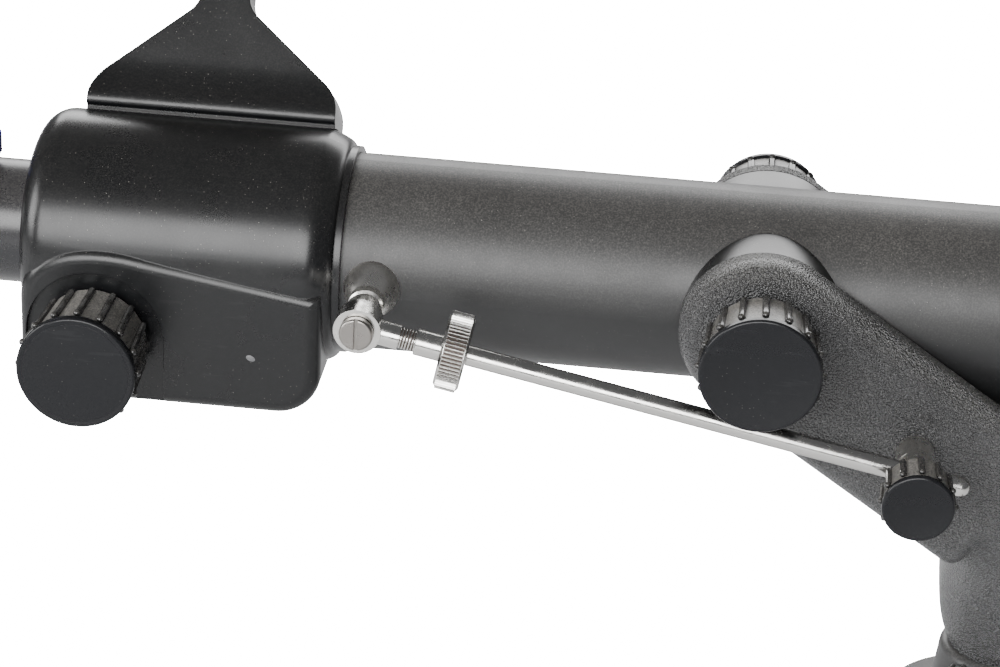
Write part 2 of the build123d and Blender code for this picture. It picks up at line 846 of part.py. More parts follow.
rod_start = nut_start + nut_thickness - 2.0
with BuildPart() as slow_motion_rod:
    with BuildSketch(rod_plane(rod_start)):
        Circle(thread_radius)
    extrude(amount=2.2)
    with BuildSketch(rod_plane(nut_start + nut_thickness + 0.15)):
        Circle(rod_radius)
    extrude(amount=rod_end - nut_start - nut_thickness - 0.15)
    fillet(slow_motion_rod.edges().sort_by(Axis.X)[-1], rod_radius - 0.02)
save(slow_motion_rod, "slow_motion_rod")

# The clamp post turns in the near arm. Its cross slot lets the rod lean a little as
# the tube is raised, and the clamp knob's screw grips the rod.
clamp_radius = 6.0
clamp_shank = 4.0
clamp_head = 6.4  # head that keeps the post in the arm
clamp_end = rod_side + 7.0
slot_half = rod_radius + 1.25
with BuildPart() as clamp_post:
    with BuildSketch(side_plane.offset(arm_outer + 0.1)):
        with Locations((clamp_x, clamp_z)):
            Circle(clamp_radius)
    extrude(amount=clamp_end - arm_outer - 0.1)
    fillet(clamp_post.edges().group_by(Axis.Y)[0], 0.7)
    with BuildSketch(side_plane.offset(arm_inner - 0.2)):
        with Locations((clamp_x, clamp_z)):
            Circle(clamp_shank)
    extrude(amount=arm_outer - arm_inner + 0.4)
    with BuildSketch(side_plane.offset(arm_inner - 1.8)):
        with Locations((clamp_x, clamp_z)):
            Circle(clamp_head)
    extrude(amount=1.6)
    with BuildSketch(rod_plane(rod_run - 20)):
        Rectangle(2 * rod_radius + 0.8, 2 * slot_half)
    extrude(amount=40, mode=Mode.SUBTRACT)
    with BuildSketch(side_plane.offset(rod_side)):
        with Locations((clamp_x, clamp_z)):
            Circle(2.5 + running_gap)
    extrude(amount=20, mode=Mode.SUBTRACT)
save(clamp_post, "clamp_post")

clamp_knob_base = clamp_end + 0.6
grip_root = 9.7
grip_crown = 10.3
grip_length = 13.2
with BuildPart(outward_plane(clamp_x, clamp_z, clamp_knob_base)) as clamp_knob:
    Cone(grip_root, grip_crown, grip_length, align=standing)
    with PolarLocations((grip_root + grip_crown) / 2, 12):
        Cylinder(0.9, grip_length - 1.6, align=standing)
    with Locations((0, 0, grip_length)):
        Cylinder(grip_crown + 0.5, 1.0, align=standing)
    with Locations((0, 0, rod_side + rod_radius + 0.15 - clamp_knob_base)):
        Cylinder(2.5, clamp_knob_base - rod_side - rod_radius + 0.5, align=standing)
save(clamp_knob, "clamp_knob")

# Finder
finder_out = Vector(0, sin(finder_lean), cos(finder_lean))
finder_near = Vector(0, -cos(finder_lean), sin(finder_lean))
finder_centre = Vector(pivot_x, 0, pivot_height) + finder_out * finder_height
finder_axis = Axis(finder_centre, (1, 0, 0))
ring_bore = 16.5
ring_outer = 19.5
ring_half = 12.0
fin_half = 40.0  # half length of the bracket's base
fin_base = 11.0  # half width of the base
fin_width = 6.5  # half width of the fin
base_level = housing_radius + 0.2  # underside of the base beside the fin
fin_corner = housing_radius + 9.6
fin_slope = 0.842
fin_neck = 8.0  # half length of the neck under the ring
ring_foot = finder_height - ring_outer + 2
neck_start = fin_corner + (fin_half - fin_neck) * fin_slope
screw_x = fin_x + 6.0
adjuster_radius = 1.75


def finder_band(start, end, inner, outer):
    """Half section of a ring about the finder's axis."""
    low = finder_height + inner
    high = finder_height + outer
    return outline(finder_plane, [(start, low), (end, low), (end, high), (start, high)])


with BuildPart() as finder_bracket:
    with BuildSketch(finder_plane):
        with BuildLine():
            FilletPolyline(
                (fin_x - fin_half, 28),
                (fin_x - fin_half, fin_corner),
                (fin_x - fin_neck, neck_start),
                (fin_x - fin_neck, ring_foot),
                (fin_x + fin_neck, ring_foot),
                (fin_x + fin_neck, neck_start),
                (fin_x + fin_half, fin_corner),
                (fin_x + fin_half, 28),
                radius=(14, 8, 0.5, 0.5, 8, 14),
            )
            Line((fin_x + fin_half, 28), (fin_x - fin_half, 28))
        make_face()
    extrude(amount=fin_base + 4, both=True)
    fin_section = Plane(
        origin=(pivot_x + fin_x + fin_half + 10, 0, pivot_height),
        x_dir=finder_near,
        z_dir=(-1, 0, 0),
    )
    with BuildSketch(fin_section):
        with BuildLine():
            for side in (1, -1):
                Line((0, 28), (side * (fin_base - 2), 28))
                Line((side * (fin_base - 2), 28), (side * (fin_base - 2), base_level))
                Spline(
                    (side * (fin_base - 2), base_level),
                    (side * (fin_base - 0.5), base_level + 0.8),
                    (side * fin_base, base_level + 2.6),
                    tangents=((side, 0), (0, 1)),
                )
                Spline(
                    (side * fin_base, base_level + 2.6),
                    (side * (fin_base - 2.2), base_level + 8),
                    (side * fin_width, base_level + 18),
                    tangents=((0, 1), (0, 1)),
                )
                Line((side * fin_width, base_level + 18), (side * (fin_width - 0.8), ring_foot + 1))
                Line((side * (fin_width - 0.8), ring_foot + 1), (0, ring_foot + 1))
        make_face()
    extrude(amount=2 * fin_half + 20, mode=Mode.INTERSECT)
    revolve(finder_band(fin_x - ring_half, fin_x + ring_half, 0, ring_outer), axis=finder_axis)
    chamfer(finder_bracket.edges().filter_by(GeomType.CIRCLE).group_by(SortBy.RADIUS)[-1], 0.8)
    revolve(
        finder_band(fin_x - ring_half - 1, fin_x + ring_half + 1, 0, ring_bore),
        axis=finder_axis,
        mode=Mode.SUBTRACT,
    )
    house_skin = tube_band(housing_rear, housing_front, 0, housing_radius)
    revolve(house_skin, axis=tube_axis, mode=Mode.SUBTRACT)
    for turn in (0, 120, 240):
        outward = finder_out * cos(radians(turn)) + finder_near * sin(radians(turn))
        with BuildSketch(Plane(origin=finder_centre + Vector(screw_x, 0, 0), z_dir=outward)):
            Circle(adjuster_radius + running_gap)
        extrude(amount=ring_outer + 2, mode=Mode.SUBTRACT)
save(finder_bracket, "finder_bracket")

finder_radius = 12.5
finder_bore = 11.0
bell_radius = 16.0
finder_rear = -243.0
bell_start = -122.0
finder_front = -92.0
with BuildPart() as finder_tube:
    profile = [
        (finder_rear, finder_height + finder_bore),
        (bell_start, finder_height + finder_bore),
        (bell_start + 6, finder_height + 14.2),
        (finder_front, finder_height + 14.2),
        (finder_front, finder_height + bell_radius),
        (bell_start + 6, finder_height + bell_radius),
        (bell_start - 2, finder_height + finder_radius),
        (finder_rear, finder_height + finder_radius),
    ]
    revolve(outline(finder_plane, profile), axis=finder_axis)
save(finder_tube, "finder_tube")

finder_lens_rear = finder_front - 13.0
finder_lens_front = finder_front - 9.4
with BuildPart() as finder_objective:
    rear_face = (finder_lens_rear + 0.3, finder_lens_rear)
    front_face = (finder_lens_front + 1.9, finder_lens_front)
    finder_section = lens_section(finder_plane, rear_face, front_face, 14.2, finder_height)
    revolve(finder_section, axis=finder_axis)
save(finder_objective, "finder_objective")

with BuildPart() as finder_o_ring:
    revolve(
        finder_band(fin_x - ring_half + 1, fin_x - ring_half + 5, finder_radius, ring_bore),
        axis=finder_axis,
    )
save(finder_o_ring, "finder_o_ring")

eye_end = finder_rear - 20.0
with BuildPart() as finder_eyepiece:
    profile = [
        (eye_end, finder_height + 6.0),
        (eye_end + 3, finder_height + 6.0),
        (eye_end + 3, finder_height + 8.5),
        (finder_rear + 14, finder_height + 8.5),
        (finder_rear + 14, finder_height + finder_bore - running_gap),
        (finder_rear - 5, finder_height + finder_bore - running_gap),
        (finder_rear - 5, finder_height + 12.2),
        (eye_end + 5, finder_height + 12.2),
        (eye_end, finder_height + 9.5),
    ]
    revolve(outline(finder_plane, profile), axis=finder_axis)
save(finder_eyepiece, "finder_eyepiece")

with BuildPart() as finder_eye_lens:
    rear_face = (eye_end + 3.3, eye_end + 3)
    front_face = (eye_end + 7.4, eye_end + 6)
    revolve(lens_section(finder_plane, rear_face, front_face, 8.5, finder_height), axis=finder_axis)
save(finder_eye_lens, "finder_eye_lens")

for number, turn in enumerate((0, 120, 240), start=1):
    outward = finder_out * cos(radians(turn)) + finder_near * sin(radians(turn))
    tip = finder_centre + Vector(screw_x, 0, 0) + outward * (finder_radius + 0.1)
    thumb_screw(
        f"finder_screw_{number}",
        Plane(origin=tip, z_dir=outward),
        shank=ring_outer + 1.5 - finder_radius,
        shank_radius=adjuster_radius,
        head=5.0,
        head_radius=4.0,
        flutes=14,
    )

# Yoke
along = (cos(arm_fall), -sin(arm_fall))
across = (sin(arm_fall), cos(arm_fall))
slope = tan(arm_fall)
stem_half = 26.5
web_floor = -64.0
corner_x = axis_offset - stem_half
shoulder_x = axis_offset + stem_half
lower_tangent = (-arm_half_width * across[0], -arm_half_width * across[1])
upper_tangent = (arm_half_width * across[0], arm_half_width * across[1])
round_tip = (-arm_half_width * along[0], -arm_half_width * along[1])
corner_z = lower_tangent[1] - slope * (corner_x - lower_tangent[0])
shoulder_z = upper_tangent[1] - slope * (shoulder_x - upper_tangent[0])
spindle_radius = 5.0
spindle_top = 16.0  # depth of the spindle in the yoke
stem_sections = (
    (50.0, 2 * stem_half, 2 * arm_outer - 0.2, 8.0),
    (62.0, 52.0, 84.0, 12.0),
    (80.0, 46.5, 68.0, 18.0),
    (100.0, 43.0, 47.0, 20.0),
    (yoke_drop, 2 * neck_radius, 2 * neck_radius, neck_radius - 0.05),
)

with BuildPart() as yoke:
    with BuildSketch(side_plane):
        with BuildLine():
            ThreePointArc(upper_tangent, round_tip, lower_tangent)
            FilletPolyline(
                lower_tangent,
                (corner_x + 5, corner_z - 5 * slope),
                (corner_x + 12, web_floor),
                (shoulder_x, web_floor),
                (shoulder_x, shoulder_z),
                upper_tangent,
                radius=(5, 4, 8, 12),
            )
        make_face()
    extrude(amount=arm_outer, both=True)
    fillet(yoke.faces().filter_by(Axis.Y).edges(), edge_round)
    # stem, from the width of both arms down to the round neck
    for drop, deep, wide, corner in stem_sections:
        with BuildSketch(Plane.XY.offset(pivot_height - drop)):
            RectangleRounded(deep, wide, corner)
    loft()
    # space for the tube between the arms
    with BuildSketch(cross_plane(-60)):
        with Locations((0, -16)):
            Circle(arm_inner)
        with Locations((0, 22)):
            Rectangle(2 * arm_inner, 76)
    extrude(amount=240, mode=Mode.SUBTRACT)
    with BuildSketch(side_plane):
        Circle(boss_radius + 1)
    extrude(amount=arm_inner, both=True, mode=Mode.SUBTRACT)
    with BuildSketch(side_plane):
        Circle(bolt_radius + running_gap)
    extrude(amount=arm_outer + 1, both=True, mode=Mode.SUBTRACT)
    with BuildSketch(side_plane):
        with Locations((clamp_x, clamp_z)):
            Circle(clamp_head + seat_gap)
    extrude(amount=arm_inner, mode=Mode.SUBTRACT)
    with BuildSketch(side_plane):
        with Locations((clamp_x, clamp_z)):
            Circle(clamp_shank + running_gap)
    extrude(amount=arm_outer + 1, mode=Mode.SUBTRACT)
    with BuildSketch(Plane.XY.offset(base_height)):
        Circle(spindle_radius)
    extrude(amount=spindle_top, mode=Mode.SUBTRACT)
save(yoke, "yoke")

# Azimuth bearing and stand
hub_top = base_height - 0.1
hub_bottom = hub_top - hub_drop
nut_space = 15.0
nut_ceiling = hub_bottom + 24.0
spindle_bottom = hub_bottom + 11.0
with BuildPart() as azimuth_spindle:
    with BuildSketch(Plane.XY.offset(spindle_bottom)):
        Circle(spindle_radius)
    extrude(amount=base_height + spindle_top - spindle_bottom)
save(azimuth_spindle, "azimuth_spindle")

with BuildPart() as azimuth_nut:
    with BuildSketch(Plane.XY.offset(spindle_bottom + 2)):
        RegularPolygon(8.5, 6, major_radius=False)
        Circle(spindle_radius, mode=Mode.SUBTRACT)
    extrude(amount=nut_ceiling - spindle_bottom - 4)
    with BuildSketch(Plane.XY.offset(nut_ceiling - 2)):
        Circle(12)
        Circle(spindle_radius, mode=Mode.SUBTRACT)
    extrude(amount=1.8)
save(azimuth_nut, "azimuth_nut")

collar_top_radius = 18.5
hub_radius = 36.0
lock_angle = radians(-120)
lock_height = base_height - 8.5
lock_radius = 3.0
lock_start = 21.0
leg_half = 9.0  # half width of a leg
leg_turns = (180.0, 60.0, -60.0)
leg_names = ("rear", "front_far", "front_near")
hinge_radius = 3.0
cheek_outer = 14.0
lock_direction = (cos(lock_angle), sin(lock_angle), 0)


def leg_plane(turn):
    """Upright plane through the azimuth axis, with x outwards and y up."""
    angle = radians(turn)
    return Plane(origin=(0, 0, 0), x_dir=(cos(angle), sin(angle), 0), z_dir=(sin(angle), -cos(angle), 0))


with BuildPart() as tripod_hub:
    with BuildSketch(Plane.XZ):
        with BuildLine():
            FilletPolyline(
                (spindle_radius + running_gap, hub_top),
                (collar_top_radius, hub_top),
                (collar_top_radius + 1.8, hub_top - 20),
                (hub_radius, hub_top - 27),
                (hub_radius, hub_bottom),
                (nut_space, hub_bottom),
                radius=(2.5, 3, 4, 2),
            )
            Polyline(
                (nut_space, hub_bottom),
                (nut_space, nut_ceiling),
                (spindle_radius + running_gap, nut_ceiling),
                (spindle_radius + running_gap, hub_top),
            )
        make_face()
    revolve(axis=Axis.Z)
    with BuildSketch(Plane(origin=(0, 0, lock_height), z_dir=lock_direction)):
        Circle(7.0)
    extrude(amount=lock_start - 0.3)
    with BuildSketch(Plane.XY.offset(nut_ceiling)):
        Circle(spindle_radius + running_gap)
    extrude(amount=40, mode=Mode.SUBTRACT)
    with BuildSketch(Plane(origin=(0, 0, lock_height), z_dir=lock_direction)):
        Circle(lock_radius + running_gap)
    extrude(amount=lock_start + 2, mode=Mode.SUBTRACT)
    for turn in leg_turns:
        slot_shape = [
            (nut_space - 0.5, hub_bottom - 1),
            (hub_radius + 5, hub_bottom - 1),
            (hub_radius + 5, leg_hinge_height + 11),
            (nut_space - 0.5, leg_hinge_height + 11),
        ]
        slot_face = outline(leg_plane(turn), slot_shape)
        extrude(slot_face, amount=leg_half + seat_gap, both=True, mode=Mode.SUBTRACT)
        with BuildSketch(leg_plane(turn)):
            with Locations((leg_hinge_reach, leg_hinge_height)):
                Circle(hinge_radius)
        extrude(amount=cheek_outer + 5, both=True, mode=Mode.SUBTRACT)
        for side in (1, -1):
            with BuildSketch(leg_plane(turn).offset(side * cheek_outer)):
                with Locations((leg_hinge_reach, leg_hinge_height)):
                    Circle(6.0)
            extrude(amount=side * 16, mode=Mode.SUBTRACT)
save(tripod_hub, "tripod_hub")

with BuildPart() as leg_hinge_bolts:
    for turn in leg_turns:
        with BuildSketch(leg_plane(turn).offset(-cheek_outer)):
            with Locations((leg_hinge_reach, leg_hinge_height)):
                Circle(hinge_radius)
        extrude(amount=2 * cheek_outer)
        for side in (1, -1):
            with BuildSketch(leg_plane(turn).offset(side * cheek_outer)):
                with Locations((leg_hinge_reach, leg_hinge_height)):
                    RegularPolygon(5.0, 6, major_radius=False)
            extrude(amount=side * 3.5)
save(leg_hinge_bolts, "leg_hinge_bolts")

foot_radius = 12.0
foot_height = 15.0
leg_end_height = 9.0
leg_run = foot_reach - leg_hinge_reach
leg_fall = leg_hinge_height - leg_end_height
leg_length = hypot(leg_run, leg_fall)
leg_normal = (leg_fall / leg_length, leg_run / leg_length)
eye_radius = 8.5
toe_radius = 5.5


def leg_outline(turn, grow, start, end):
    """Tapered bar between two stations along a leg, grown or shrunk on its long sides."""
    points = []
    for share, sign in ((start, 1), (end, 1), (end, -1), (start, -1)):
        half = eye_radius + (toe_radius - eye_radius) * share + grow
        points.append(
            (
                leg_hinge_reach + leg_run * share + sign * half * leg_normal[0],
                leg_hinge_height - leg_fall * share + sign * half * leg_normal[1],
            )
        )
    return outline(leg_plane(turn), points)


for turn, name in zip(leg_turns, leg_names):
    with BuildPart() as leg:
        extrude(leg_outline(turn, 0, 0, 1), amount=leg_half, both=True)
        with BuildSketch(leg_plane(turn)):
            with Locations((leg_hinge_reach, leg_hinge_height)):
                Circle(eye_radius)
            with Locations((foot_reach, leg_end_height)):
                Circle(toe_radius)
        extrude(amount=leg_half, both=True)
        for side in (1, -1):
            pocket = leg_outline(turn, -2.4, 0.13, 0.86)
            pocket = pocket.moved(Location(leg_plane(turn).z_dir * side * (leg_half - 2)))
            extrude(pocket, amount=side * 4, mode=Mode.SUBTRACT)
        with BuildSketch(leg_plane(turn)):
            with Locations((leg_hinge_reach, leg_hinge_height)):
                Circle(hinge_radius + running_gap)
        extrude(amount=leg_half + 1, both=True, mode=Mode.SUBTRACT)
    save(leg, f"leg_{name}")
    with BuildPart() as foot:
        with BuildSketch(Plane.XY):
            with Locations((foot_reach * cos(radians(turn)), foot_reach * sin(radians(turn)))):
                Circle(foot_radius)
        extrude(amount=foot_height)
        fillet(foot.edges().group_by(Axis.Z)[-1], 3)
        chamfer(foot.edges().group_by(Axis.Z)[0], 1)
        add(leg.part, mode=Mode.SUBTRACT)
    save(foot, f"foot_{name}")

with BuildPart(Plane(origin=(0, 0, lock_height), z_dir=lock_direction)) as azimuth_lock_knob:
    with Locations((0, 0, spindle_radius + 0.2)):
        Cylinder(lock_radius, lock_start - spindle_radius, align=standing)
    with Locations((0, 0, lock_start)):
        Cylinder(8.4, 14, align=standing)
        with PolarLocations(8.4, 13):
            Cylinder(0.9, 12.5, align=standing)
save(azimuth_lock_knob, "azimuth_lock_knob")
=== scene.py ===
import json
import math
import bmesh
import bpy
from mathutils import Matrix, Vector


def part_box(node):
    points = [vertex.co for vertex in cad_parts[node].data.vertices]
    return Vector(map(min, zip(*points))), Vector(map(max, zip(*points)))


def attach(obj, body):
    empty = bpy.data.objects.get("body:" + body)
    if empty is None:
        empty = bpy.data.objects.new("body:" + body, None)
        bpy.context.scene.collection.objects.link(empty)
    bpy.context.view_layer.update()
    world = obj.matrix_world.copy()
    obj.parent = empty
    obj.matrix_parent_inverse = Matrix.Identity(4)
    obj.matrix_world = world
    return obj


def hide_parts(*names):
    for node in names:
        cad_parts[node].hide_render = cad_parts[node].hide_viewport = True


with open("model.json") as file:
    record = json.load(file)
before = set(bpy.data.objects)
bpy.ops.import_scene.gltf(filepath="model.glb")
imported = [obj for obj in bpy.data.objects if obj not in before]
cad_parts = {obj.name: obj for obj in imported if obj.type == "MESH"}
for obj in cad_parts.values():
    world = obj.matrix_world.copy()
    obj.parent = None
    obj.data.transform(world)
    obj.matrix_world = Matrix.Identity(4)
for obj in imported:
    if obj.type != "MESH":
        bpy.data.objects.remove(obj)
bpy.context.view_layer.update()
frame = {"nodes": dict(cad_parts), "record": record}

print("frame loaded")
nodes = frame["nodes"]
slotOf = {part["node"]: part["material_slot"] for part in frame["record"]["subparts"]}
scene = bpy.context.scene
mm = 0.001


# small helpers for node trees
def addNode(tree, kind, x=0, y=0, **settings):
    node = tree.nodes.new(kind)
    node.location = (x, y)
    for name, value in settings.items():
        setattr(node, name, value)
    return node


def mathNode(tree, operation, a, b=None, clamp=False):
    node = addNode(tree, "ShaderNodeMath", operation=operation, use_clamp=clamp)
    for index, value in enumerate((a, b)):
        if value is None:
            continue
        if isinstance(value, (int, float)):
            node.inputs[index].default_value = value
        else:
            tree.links.new(value, node.inputs[index])
    return node.outputs[0]


def product(tree, a, b):
    return mathNode(tree, "MULTIPLY", a, b)


def rangeNode(tree, value, low, high, newLow=0.0, newHigh=1.0):
    node = addNode(tree, "ShaderNodeMapRange", clamp=True)
    tree.links.new(value, node.inputs["Value"])
    for name, number in (("From Min", low), ("From Max", high), ("To Min", newLow), ("To Max", newHigh)):
        node.inputs[name].default_value = number
    return node.outputs["Result"]


def noiseNode(tree, vector, scale, detail=3.0, roughness=0.55):
    node = addNode(tree, "ShaderNodeTexNoise")
    tree.links.new(vector, node.inputs["Vector"])
    if isinstance(scale, (int, float)):
        node.inputs["Scale"].default_value = scale
    else:
        tree.links.new(scale, node.inputs["Scale"])
    node.inputs["Detail"].default_value = detail
    node.inputs["Roughness"].default_value = roughness
    return node.outputs["Fac"]


def shaderGroup(name, inputs, outputs):
    group = bpy.data.node_groups.new(name, "ShaderNodeTree")
    for label, kind, value in inputs:
        socket = group.interface.new_socket(label, in_out="INPUT", socket_type=kind)
        socket.default_value = value
    for label, kind in outputs:
        group.interface.new_socket(label, in_out="OUTPUT", socket_type=kind)
    return group, addNode(group, "NodeGroupInput", -900), addNode(group, "NodeGroupOutput", 600)


# dust that has settled on what faces up, with loose specks everywhere
def makeDust():
    group, given, out = shaderGroup(
        "settledDust",
        [
            ("Film", "NodeSocketFloat", 0.4),
            ("Specks", "NodeSocketFloat", 0.5),
            ("Speck Scale", "NodeSocketFloat", 900.0),
        ],
        [("Mask", "NodeSocketFloat")],
    )
    place = addNode(group, "ShaderNodeTexCoord", -900, -300)
    position = place.outputs["Object"]
    facing = addNode(group, "ShaderNodeSeparateXYZ", -700, -300)
    group.links.new(place.outputs["Normal"], facing.inputs[0])
    upward = rangeNode(group, facing.outputs["Z"], -0.1, 0.95)
    cloudy = rangeNode(group, noiseNode(group, position, 22.0, 5.0), 0.3, 0.75, 0.55, 1.0)
    fine = rangeNode(group, noiseNode(group, position, 1900.0, 2.0), 0.42, 0.7)
    film = product(group, product(group, upward, cloudy), mathNode(group, "ADD", fine, 0.35))
    film = product(group, film, given.outputs["Film"])
    cells = addNode(group, "ShaderNodeTexVoronoi", -500, -600)
    group.links.new(position, cells.inputs["Vector"])
    group.links.new(given.outputs["Speck Scale"], cells.inputs["Scale"])
    dots = rangeNode(group, cells.outputs["Distance"], 0.09, 0.17, 1.0, 0.0)
    pick = addNode(group, "ShaderNodeSeparateColor")
    group.links.new(cells.outputs["Color"], pick.inputs[0])
    few = mathNode(group, "GREATER_THAN", pick.outputs[0], 0.8)
    drift = rangeNode(group, noiseNode(group, position, 35.0, 3.0), 0.38, 0.62, 0.1, 1.0)
    lean = mathNode(group, "ADD", product(group, upward, 0.75), 0.25)
    specks = product(group, product(group, dots, few), product(group, drift, lean))
    specks = product(group, specks, given.outputs["Specks"])
    total = mathNode(group, "ADD", film, specks, clamp=True)
    group.links.new(total, out.inputs["Mask"])
    return group


# faint handling marks: a slow change in gloss and fine hairlines
def makeHandling():
    group, given, out = shaderGroup(
        "handlingMarks",
        [
            ("Gloss Low", "NodeSocketFloat", 0.3),
            ("Gloss High", "NodeSocketFloat", 0.45),
            ("Scale", "NodeSocketFloat", 30.0),
        ],
        [("Roughness", "NodeSocketFloat"), ("Hairlines", "NodeSocketFloat")],
    )
    place = addNode(group, "ShaderNodeTexCoord", -900, -300)
    wander = noiseNode(group, place.outputs["Object"], given.outputs["Scale"], 6.0, 0.65)
    smear = rangeNode(group, wander, 0.3, 0.72)
    low = given.outputs["Gloss Low"]
    spread = mathNode(group, "SUBTRACT", given.outputs["Gloss High"], low)
    rough = mathNode(group, "ADD", product(group, smear, spread), low, clamp=True)
    stretch = addNode(group, "ShaderNodeMapping", -700, -500)
    stretch.inputs["Scale"].default_value = (60.0, 900.0, 500.0)
    stretch.inputs["Rotation"].default_value = (0.3, 0.2, 0.5)
    group.links.new(place.outputs["Object"], stretch.inputs["Vector"])
    lines = rangeNode(group, noiseNode(group, stretch.outputs[0], 1.0, 2.0), 0.66, 0.72)
    group.links.new(rough, out.inputs["Roughness"])
    group.links.new(lines, out.inputs["Hairlines"])
    return group


# pebbled powder coat, or the fine grain of a moulding when it is scaled down; the second output marks the
# hollows of the grain, used to paint shade into them
def makePebble():
    group, given, out = shaderGroup(
        "pebbleGrain",
        [("Scale", "NodeSocketFloat", 900.0), ("Softness", "NodeSocketFloat", 0.5)],
        [("Height", "NodeSocketFloat"), ("Hollow Shade", "NodeSocketFloat")],
    )
    place = addNode(group, "ShaderNodeTexCoord", -900, -300)
    warp = noiseNode(group, place.outputs["Object"], 900.0, 2.0)
    bend = addNode(group, "ShaderNodeVectorMath", -500, -300, operation="MULTIPLY_ADD")
    group.links.new(warp, bend.inputs[0])
    bend.inputs[1].default_value = (0.0004, 0.00035, 0.00045)
    group.links.new(place.outputs["Object"], bend.inputs[2])
    cells = addNode(group, "ShaderNodeTexVoronoi", -300, -300, feature="SMOOTH_F1")
    group.links.new(bend.outputs[0], cells.inputs["Vector"])
    group.links.new(given.outputs["Scale"], cells.inputs["Scale"])
    group.links.new(given.outputs["Softness"], cells.inputs["Smoothness"])
    domes = rangeNode(group, cells.outputs["Distance"], 0.05, 0.75, 1.0, 0.0)
    finer = product(group, given.outputs["Scale"], 2.3)
    ripple = noiseNode(group, place.outputs["Object"], finer, 3.0)
    height = mathNode(group, "ADD", domes, product(group, ripple, 0.45))
    group.links.new(height, out.inputs["Height"])
    group.links.new(rangeNode(group, height, 0.5, 0.85, 1.0, 0.0), out.inputs["Hollow Shade"])
    return group


dustGroup = makeDust()
handlingGroup = makeHandling()
pebbleGroup = makePebble()

dustColour = (0.38, 0.36, 0.33, 1.0)


def placeGroup(tree, group, **values):
    node = addNode(tree, "ShaderNodeGroup")
    node.node_tree = group
    for label, value in values.items():
        node.inputs[label.replace("_", " ")].default_value = value
    return node


def mixColour(tree, factor, a, b):
    node = addNode(tree, "ShaderNodeMix", data_type="RGBA")
    for index, value in ((0, factor), (6, a), (7, b)):
        if isinstance(value, (tuple, float, int)):
            node.inputs[index].default_value = value
        else:
            tree.links.new(value, node.inputs[index])
    return node.outputs[2]


# a finish: base colour, gloss, grain, painted shade in the grain's hollows, and dust; every finish of the
# object starts here
def makeFinish(name, colour, gloss, metallic=0.0, grain=None, film=0.0, specks=0.0, edge=0.25,
               hollowShade=0.0, coat=0.0, speckScale=900.0, marks=30.0, specular=0.5):
    material = bpy.data.materials.new(name)
    material.use_nodes = True
    tree = material.node_tree
    tree.nodes.clear()
    shader = addNode(tree, "ShaderNodeBsdfPrincipled", 400)
    output = addNode(tree, "ShaderNodeOutputMaterial", 700)
    tree.links.new(shader.outputs[0], output.inputs["Surface"])
    shader.inputs["Metallic"].default_value = metallic
    shader.inputs["Specular IOR Level"].default_value = specular
    if coat:
        shader.inputs["Coat Weight"].default_value = coat
        shader.inputs["Coat Roughness"].default_value = 0.12
    handling = placeGroup(tree, handlingGroup, Gloss_Low=gloss[0], Gloss_High=gloss[1], Scale=marks)
    rough = handling.outputs["Roughness"]
    base = mixColour(tree, product(tree, handling.outputs["Hairlines"], 0.12),
                     (*colour, 1.0), (*[min(1.0, c * 1.8 + 0.02) for c in colour], 1.0))
    rounding = addNode(tree, "ShaderNodeBevel", 0, -500, samples=4)
    rounding.inputs["Radius"].default_value = edge * mm
    normal = rounding.outputs[0]
    if grain:
        pebble = placeGroup(tree, pebbleGroup, Scale=grain["scale"], Softness=grain.get("softness", 0.5))
        bump = addNode(tree, "ShaderNodeBump", 200, -400)
        bump.inputs["Strength"].default_value = grain["strength"]
        bump.inputs["Distance"].default_value = grain["depth"] * mm
        tree.links.new(pebble.outputs["Height"], bump.inputs["Height"])
        tree.links.new(normal, bump.inputs["Normal"])
        normal = bump.outputs[0]
        # painted shade: the base colour is darkened in the hollows of the grain
        if hollowShade:
            shade = product(tree, pebble.outputs["Hollow Shade"], hollowShade)
            base = mixColour(tree, shade, base, (*[c * 0.25 for c in colour], 1.0))
    tree.links.new(normal, shader.inputs["Normal"])
    if film or specks:
        dust = placeGroup(tree, dustGroup, Film=film, Specks=specks, Speck_Scale=speckScale)
        base = mixColour(tree, dust.outputs["Mask"], base, dustColour)
        rough = mathNode(tree, "ADD", rough, product(tree, dust.outputs["Mask"], 0.25), clamp=True)
    tree.links.new(base, shader.inputs["Base Color"])
    tree.links.new(rough, shader.inputs["Roughness"])
    return material


def makeGlass(name, tint, roughness=0.0):
    material = makeFinish(name, tint, (roughness, roughness + 0.02), edge=0.05)
    shader = next(node for node in material.node_tree.nodes if node.type == "BSDF_PRINCIPLED")
    shader.inputs["Transmission Weight"].default_value = 1.0
    shader.inputs["IOR"].default_value = 1.52
    shader.inputs["Coat Weight"].default_value = 0.6
    shader.inputs["Coat Tint"].default_value = (0.55, 0.75, 1.0, 1.0)
    return material


tubePaint = makeFinish("tubePaint", (0.013, 0.0132, 0.0138), (0.38, 0.5), film=0.2, specks=0.8,
                       grain={"scale": 1900.0, "strength": 0.16, "depth": 0.03}, speckScale=1100.0)
housingGloss = makeFinish("housingGloss", (0.004, 0.0043, 0.005), (0.24, 0.34), film=0.05, specks=0.9,
                          speckScale=1100.0, specular=0.38, edge=0.5)
# painted shade: the yoke's base colour is darkened fully in the hollows of its pebbled grain
yokePaint = makeFinish("yokePaint", (0.075, 0.075, 0.078), (0.2, 0.3), film=0.3, edge=0.6, specular=1.0,
                       grain={"scale": 1500.0, "strength": 1.0, "depth": 0.8, "softness": 0.1},
                       hollowShade=1.0)
knobPlastic = makeFinish("knobPlastic", (0.012, 0.012, 0.012), (0.2, 0.3), film=0.9, specks=0.5, edge=0.15)
ribPlastic = makeFinish("ribPlastic", (0.008, 0.008, 0.008), (0.1, 0.16), film=0.25, edge=0.1)
capPlastic = makeFinish("capPlastic", (0.006, 0.0064, 0.0078), (0.16, 0.26), film=0.03, specks=0.35, edge=0.2,
                        specular=0.24,
                        grain={"scale": 2600.0, "strength": 0.12, "depth": 0.03})
